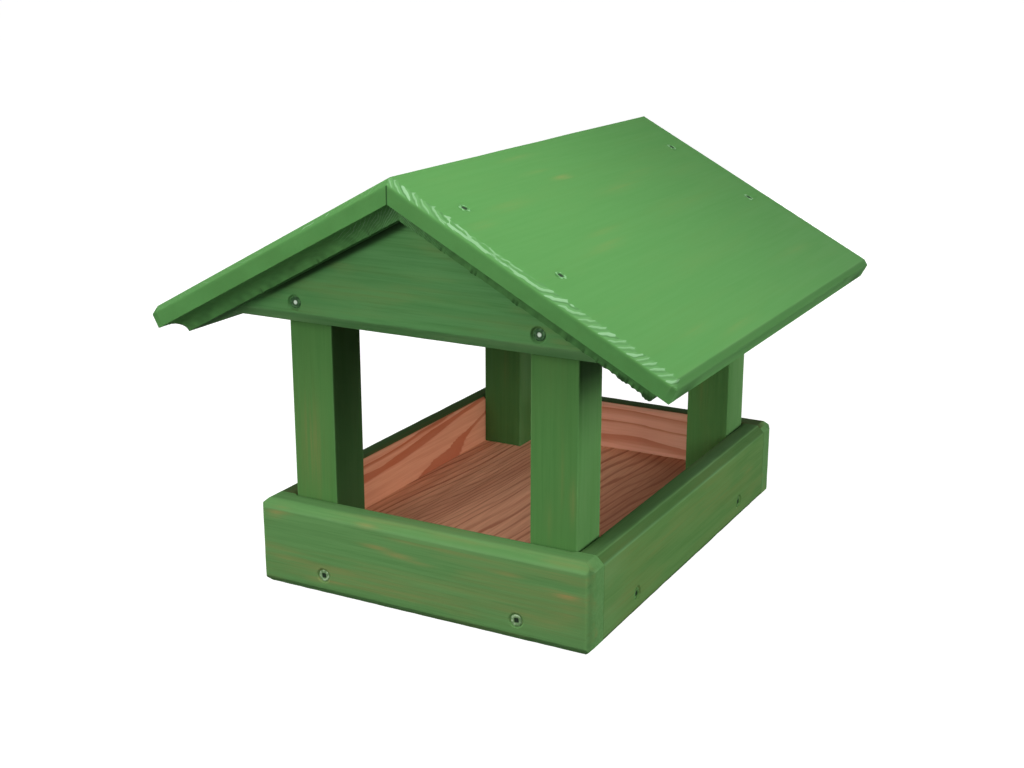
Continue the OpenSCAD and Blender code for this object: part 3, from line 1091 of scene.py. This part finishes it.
# The heart of the tree: how far down the slope, and how far above the board
HEART_DOWN, HEART_ABOVE = 80.0, 145.0
roof_high = mm_box("right_roof_board")[1]
half_roof, ridge = roof_high[1], roof_high[2]
roof_run = (roof_high[0] + ROOF_BEVEL * math.sin(SLOPE)) / math.cos(SLOPE)


def on_roof(s, depth, y):
    """A point on the right board: s down the slope from the ridge, depth below the top face."""
    x = s * math.cos(SLOPE) - depth * math.sin(SLOPE)
    return x, y, ridge - s * math.sin(SLOPE) - depth * math.cos(SLOPE)


def mitred(s, depth):
    """Shifts s down the slope so that the ridge end stands upright, fading out towards the eave."""
    return s + depth * math.tan(SLOPE) * np.maximum(0, 1 - s / MITRE_FADE)


def cove(away):
    """How high the hollow cuts into the underside: the radius on the flat step, then a quarter circle."""
    past_step = np.maximum(0, away - COVE_STEP)
    height = np.sqrt(np.maximum(0, COVE_RADIUS**2 - past_step**2))
    return np.where(away < COVE_END, height, 0)


def ring_number(s, depth, seed, width=2.6):
    """Growth rings on the end grain are arcs round a heart that lies above the board. The number is the
    distance from the heart over the ring width, shifted by slow noise so that no two are alike."""
    away = np.hypot(s - HEART_DOWN, depth + HEART_ABOVE)
    return away / width + 0.5 + 0.15 * wander(s, seed, 15.0) + 0.05 * wander(s, seed + 1, 5.0)


def roof_lines():
    """Grid lines down the slope and along the depth, close together at the bevels and the hollow."""
    bends = COVE_STEP + COVE_RADIUS * np.sin(np.radians([20, 35, 48, 60, 70, 79, 90]))
    rim = np.concatenate([np.linspace(0, 4.4, 15), bends, [COVE_END + 0.3, COVE_END + 1.2]])
    rim = np.unique(np.round(rim, 3))
    inner = np.linspace(COVE_END + 3 - half_roof, half_roof - COVE_END - 3, 64)
    y_lines = np.concatenate([rim - half_roof, inner, (half_roof - rim)[::-1]])
    bulk = grid_lines(0, roof_run - COVE_END - 2, 0.6, [(0, 0.6, 0.3)])
    return np.concatenate([bulk, (roof_run - rim)[::-1]]), y_lines


print("roof run", round(roof_run, 2), "ridge", round(ridge, 2))

# %% Top and underside of a roof board
TORN_RELIEF = 0.22
TORN_FADE = 2.4
# Places down the slope between which the strokes start to merge, and part again
MERGE, PART = (28.0, 50.0), (108.0, 92.0)


def roof_edges(s, y):
    """Distances from the front, back and eave edges, then from the nearer end; the mark of the cut ends,
    and the dark line of the mitre on them."""
    front, back, eave = y + half_roof, half_roof - y, roof_run - s
    ends = np.minimum(front, back)
    end = step_up(0.25, 0.05, ends)
    return front, back, eave, ends, end, 0.85 * step_up(0.8, 0.2, s) * end


def roof_top(s, y, seed, spots, tear, dark_spots):
    """The top face. It sinks by its bevels and dishes, and each ring stands up as a stroke in the torn
    band. In the middle of the slope, where the rings run along the edge, they merge into two lines."""
    front, back, eave, ends, end, seam_end = roof_edges(s, y)
    depth = np.maximum.reduce([bevel(e, ROOF_BEVEL, 0.2) for e in (front, back, eave)])
    depth += rounding(np.minimum(ends, eave), 0.3)
    number = np.where(y < 0, ring_number(s, depth, seed), ring_number(s, depth, seed + 7))
    merge = step_up(*MERGE, s) * step_up(*PART, s)
    reach = ROOF_BEVEL + TORN_FADE + 0.5 * wander(s, seed + 10, 9.0)
    band = step_up(reach, reach - TORN_FADE, ends) * step_up(0.15, 0.9, ends)
    band = band * step_up(0.3, 3.0, eave) * tear * (1 - 0.85 * merge)
    stroke = step_up(0.46, 0.20, np.abs(number - np.floor(number) - 0.5) * 2)
    depth -= TORN_RELIEF * band * (stroke - 0.4)
    depth += 0.06 * uneven(y, s, seed + 3, 130, 22) * step_up(4, 14, ends) * step_up(3, 12, eave)
    depth += dishes(s, y, ROOF_SCREWS, ROOF_DISH)
    line = 3.6 * bell(ends, 1.6 + 0.12 * wander(s, seed + 2, 14.0), 0.46)
    line += 1.3 * bell(ends, 3.1 + 0.25 * wander(s, seed + 12, 12.0), 0.40)
    torn = np.maximum(band, line * (merge * tear))
    edge = np.maximum.reduce([
        0.5 * bell(eave, ROOF_BEVEL), 0.4 * bell(eave, 0.0),
        0.6 * bell(ends, ROOF_BEVEL, 0.6) * (1 - tear),
    ])
    # Painted shade on the eave bevel, and a darker spot at the eave corner
    eave_painted_shade = 0.26 * step_up(ROOF_BEVEL + 0.5, ROOF_BEVEL - 0.5, eave)
    shade = np.maximum.reduce([seam_end, streaks(y, s, dark_spots), eave_painted_shade])
    place = on_roof(mitred(s, depth), depth, y)
    return sheet(*place, streaks(y, s, spots), edge, torn, number, end, shade)


def roof_underside(s, y, seed, tear, chips):
    """The underside with its hollow moulding. Splinters hang from the inner edge of the hollow, which the
    cutter also pulled a little out of line, and the hollow is scratched near the ridge. The hollow, the
    flat strip by the gable, the joint with the gable and the splinters are darkened with painted shade."""
    front, back, eave, ends, end, seam_end = roof_edges(s, y)
    low = ROOF_THICK - np.maximum.reduce([cove(front), cove(back), cove(eave)])
    torn_zone = step_up(COVE_END + 3, COVE_END - 2, ends) * step_up(0, 1.5, ends)
    low = low + 0.07 * uneven(s, y, seed + 4, 4.0, 3.0) * torn_zone
    splinters = [(at, COVE_END, long, 1.2, deep) for at, long, deep in chips]
    hang = streaks(s, ends, splinters) * step_up(17.5, 20.5, low)
    low = low + hang
    pull = bell(ends, COVE_END, 2.5) * np.sign(y) * step_up(0, 12, eave) * tear
    y_low = y - pull * (0.10 * wander(s, seed + 6, 7.0) + 0.06 * wander(s, seed + 8, 3.0))
    # Painted shade along the joint with the gable, in the hollow, on the flat strip beside it and on
    # splinters
    gable_joint_painted_shade = 0.70 * bell(ends, 20.0, 5.0)
    mottle = np.clip(0.38 + 0.06 * uneven(s, y, seed + 5, 9.0, 4.0), 0.2, 0.9)
    hollow = mottle * step_up(3.0, COVE_END - 1, ends) * step_up(COVE_END + 2, COVE_END, ends)
    flat = 0.55 * step_up(COVE_END - 0.5, COVE_END + 0.5, ends) * step_up(40.0, 24.0, ends)
    shade = np.maximum.reduce([np.clip(1.6 * hang, 0, 0.85), gable_joint_painted_shade, hollow, flat, seam_end])
    scratched = 0.60 * step_up(75.0, 8.0, s) * torn_zone * step_up(3.0, 7.0, ends)
    rings = ring_number(s, low, seed, width=1.4)
    return sheet(*on_roof(mitred(s, low), low, y_low), 0, 0, scratched, rings, end, shade)


def roof_sheets(seed, spots, tears, chips, dark_spots):
    """Top and underside of the right board. `tears` is how strongly the front and the back edge are torn,
    `chips` are splinters (place, length, depth) along the edge of the hollow, and `dark_spots` darker spots."""
    s, y = np.meshgrid(*roof_lines(), indexing="ij")
    tear = np.where(y < 0, tears[0], tears[1])
    return roof_top(s, y, seed, spots, tear, dark_spots), roof_underside(s, y, seed, tear, chips)


print("roof grid:", " by ".join(str(lines.size) for lines in roof_lines()))

# %% Two roof boards
# Worn spots: place along the depth, place down the slope, length, width, strength
right_roof_spots = [
    (-27, 35, 9, 1.6, 0.26), (-22, 37, 7, 0.9, 0.16), (-40, 10, 18, 2.0, 0.09), (-44, 25, 16, 1.8, 0.08),
    (17, 57, 24, 3.5, 0.07), (-107, 45, 20, 4.0, 0.07), (-150, 53, 14, 3.0, 0.08), (-77, 96, 20, 3.5, 0.09),
    (-60, 86, 20, 2.5, 0.07), (104, 157, 18, 3.0, 0.07), (61, 50, 26, 4.0, 0.05), (-100, 172, 18, 3.0, 0.06),
    (-62, 182, 20, 2.0, 0.07), (60, 88, 40, 6.0, 0.035), (120, 60, 30, 6.0, 0.035),
    (-10, 130, 40, 6.0, 0.035),
]
left_roof_spots = [
    (-30, 60, 20, 2.4, 0.1), (70, 110, 24, 2.4, 0.1), (-110, 150, 20, 3.0, 0.08), (20, 25, 20, 2.4, 0.08),
]
right_chips = [
    (41.5, 1.1, 0.5), (44, 0.7, 0.4), (63, 1.3, 0.5), (65.5, 0.8, 0.5), (91.5, 1.8, 0.5), (94, 0.9, 0.5),
    (127, 1.3, 0.5), (138, 1.0, 0.5), (147, 0.9, 0.5), (152, 1.2, 0.6), (157, 0.8, 0.5), (161, 1.0, 0.7),
    (163.5, 1.3, 1.0), (166, 0.8, 0.7), (170, 0.9, 0.6), (173.5, 0.8, 0.5), (177, 1.0, 1.2),
    (179, 1.2, 1.7), (181, 1.0, 1.3),
]
left_chips = [(30, 1.0, 0.5), (72, 1.4, 0.5), (118, 1.1, 0.5)]
right_dark_spots = [(121, 192.8, 3.0, 1.3, 0.75)]
# The left board is made as the right one and turned by half a turn, so its first tear lies at the back
for name, node_name, seed, spots, turn, tears, chips, dark_spots in (
    ("roof_right", "right_roof_board", 101, right_roof_spots, False, (1.0, 0.5), right_chips, right_dark_spots),
    ("roof_left", "left_roof_board", 211, left_roof_spots, True, (0.02, 0.15), left_chips, []),
):
    skin = paired_skin(roof_sheets(seed, spots, tears, chips, dark_spots), turn, rows=7)
    start = (seed * 0.27, seed * 0.19, 0.8)
    finish = stain(
        name + "_stain", "y", start, ROOF_GREEN,
        thin=0.02, lines=0.02, pale=0.05, hairs=0.03, relief=0.12, ends=True,
    )
    make_piece(name, skin, [finish], node_name)

# %% [markdown]
# ## Screws
# The heads were brushed over with the stain, so they are greenish steel. Their bright rim is partly bare
# steel and partly painted highlight, and their dark cross is painted shade. On the gables the heads sit
# deeper and are painted dark as shade, and only a painted highlight shows as a pale spot in the middle
# of the cross.
# A head is a disc in polar coordinates: its height depends on the radius and, in the cross, on the angle too.
# Cutting the cross with a boolean would work as well, but it leaves ragged faces on so small a piece.

# %% Screw finish
STEEL_ROUGH = 0.40
SPECK_DEPTH = 0.0002
RECESS_PAINTED_SHADE = (0.008, 0.020, 0.008, 1)
PAINTED_GLINT = (0.640, 0.760, 0.620, 1)


def screw_finish(name, head, bright, recess=RECESS_PAINTED_SHADE, gloss=0.10):
    """Stained steel: the head's colour, bright specks on its rim that are partly bare steel and partly
    painted highlight, the colour in the cross, painted shade or a painted glint, and the gloss.
    """
    made, tree, shader = new_material(name)
    feed = {"Vector": own_place(tree), "Scale": 500.0, "Detail": 2.0}
    speckle = node(tree, "ShaderNodeTexNoise", feed).outputs[0]
    bare_steel_and_glint = times(tree, fade(tree, speckle, 0.42, 0.62), mark(tree, "edge"))
    colour = blend(tree, mark(tree, "torn"), blend(tree, bare_steel_and_glint, head, bright), recess)
    rough = times_plus(tree, speckle, 0.25, STEEL_ROUGH)
    tree.links.new(times(tree, bare_steel_and_glint, 0.2), shader.inputs["Metallic"])
    fill_shader(tree, shader, colour, rough, gloss, speckle, 0.2, SPECK_DEPTH)
    return made


# The bright rim colours are partly bare steel and partly painted highlight
TRAY_SCREW = screw_finish("tray_screw_steel", (0.150, 0.270, 0.115, 1), (0.330, 0.470, 0.270, 1))
SIDE_SCREW = screw_finish("side_screw_steel", (0.070, 0.170, 0.042, 1), (0.110, 0.270, 0.080, 1), gloss=0.02)
# The gable heads are painted dark as shade in their deep dishes, with a painted glint in the middle
GABLE_SCREW = screw_finish(
    "gable_screw_steel", (0.020, 0.062, 0.020, 1), (0.060, 0.140, 0.055, 1), PAINTED_GLINT
)
ROOF_SCREW = screw_finish("roof_screw_steel", (0.060, 0.190, 0.050, 1), (0.200, 0.420, 0.190, 1))
print("screw finishes:", ", ".join(f.name for f in (TRAY_SCREW, SIDE_SCREW, GABLE_SCREW, ROOF_SCREW)))

# %% Shape of a screw head
DEEP, FILLED = 0.35, 0.2


def screw_grid(sink, twist, recess):
    """Radius, angle and height of a head: a flat dish with a rounded rim, less a cross-shaped recess.
    The recess has its full depth where the point lies within an arm's half width of either axis.
    A filled recess keeps only a small spot in the middle. The cross or that spot carries the painted
    shade or the painted glint."""
    under = [HEAD_RADIUS, 1.5, 0.05]
    rim_radii = np.linspace(2.8, HEAD_RADIUS, 6)
    radius = np.concatenate([[0.05], np.linspace(0.25, 2.6, 12), rim_radii, under])
    level = np.zeros(radius.size)
    level[-len(under):] = (-0.55, -1.15, -1.15)
    r, a = np.meshgrid(radius, np.linspace(0, 2 * np.pi, 48, endpoint=False), indexing="ij")
    lift = np.broadcast_to(level[:, None], r.shape).copy()
    across, along = np.abs(r * np.cos(a)), np.abs(r * np.sin(a))
    cross = step_up(0.75, 0.40, np.minimum(across, along)) * step_up(2.0, 1.5, np.maximum(across, along))
    cross = np.maximum(cross, step_up(1.75, 1.25, r))
    upper = np.arange(radius.size)[:, None] < radius.size - len(under)
    lift -= np.where(upper, recess * cross + 0.28 * step_up(2.9, HEAD_RADIUS, r) + 0.10 * (r < 2.6), 0)
    rim = np.where(upper, step_up(1.6, 2.6, r) * (1 - cross), 0)
    spot = step_up(1.5, 0.9, r) if recess == FILLED else cross
    return r, a + twist, lift - sink, rim, np.where(upper, spot, 0)


def add_screw(name, at, out, sink, finish, recess, twist):
    """Sets a head at a point of a board, with `out` pointing away from the wood."""
    r, a, lift, rim, cross = screw_grid(sink, twist, recess)
    out = np.array(out, float)
    first = np.cross(out, (0.3, 0.5, 0.81))
    first /= np.linalg.norm(first)
    second = np.cross(out, first)
    spot = np.array(at) + r[..., None] * (np.cos(a)[..., None] * first + np.sin(a)[..., None] * second)
    spot = spot + lift[..., None] * out
    grid = sheet(spot[..., 0], spot[..., 1], spot[..., 2], 0, rim, cross)
    index = np.arange(r.size).reshape(r.shape)
    after = np.roll(index, -1, axis=1)
    quads = np.stack([index[:-1], index[1:], after[1:], after[:-1]], -1).reshape(-1, 4)
    make_piece(name, (grid.reshape(-1, grid.shape[2]), quads), [finish], crease=50)


print("points on a head:", screw_grid(0, 0, DEEP)[0].size)

# %% Screw heads
TRAY_SUNK, GABLE_SUNK, ROOF_SUNK = 0.45, 0.95, 0.30
rng = np.random.default_rng(5)
roof_out = np.array([math.sin(SLOPE), 0, math.cos(SLOPE)])
PLACES = []
for turn, end in ((1, "front"), (-1, "back")):
    out = (0, -turn, 0)
    for k, (x, z) in enumerate(FRONT_SCREWS, 1):
        at = (turn * x, turn * front_low[1], z)
        PLACES.append((f"screw_tray_{end}_{k}", at, out, TRAY_SUNK, TRAY_SCREW, DEEP))
    for k, (x, z) in enumerate(GABLE_SCREWS, 1):
        at = (turn * x, turn * gable_low[1], z)
        PLACES.append((f"screw_gable_{end}_{k}", at, out, GABLE_SUNK, GABLE_SCREW, FILLED))
for turn, flank in ((1, "right"), (-1, "left")):
    for k, (y, z) in enumerate(SIDE_SCREWS, 1):
        at = (turn * right_high[0], turn * y, z)
        PLACES.append((f"screw_tray_{flank}_{k}", at, (turn, 0, 0), TRAY_SUNK, SIDE_SCREW, DEEP))
    for k, (s, y) in enumerate(ROOF_SCREWS, 1):
        at = np.array(on_roof(s, 0.0, y)) * (turn, turn, 1)
        PLACES.append((f"screw_roof_{flank}_{k}", at, roof_out * (turn, 1, 1), ROOF_SUNK, ROOF_SCREW, DEEP))
for place in PLACES:
    add_screw(*place, twist=rng.uniform(0, np.pi / 2))
print("screws:", len(PLACES))

# %% [markdown]
# ## A last update
# The view layer is updated once more, so that every piece stands in its final place.

# %% Update the view layer
bpy.context.view_layer.update()
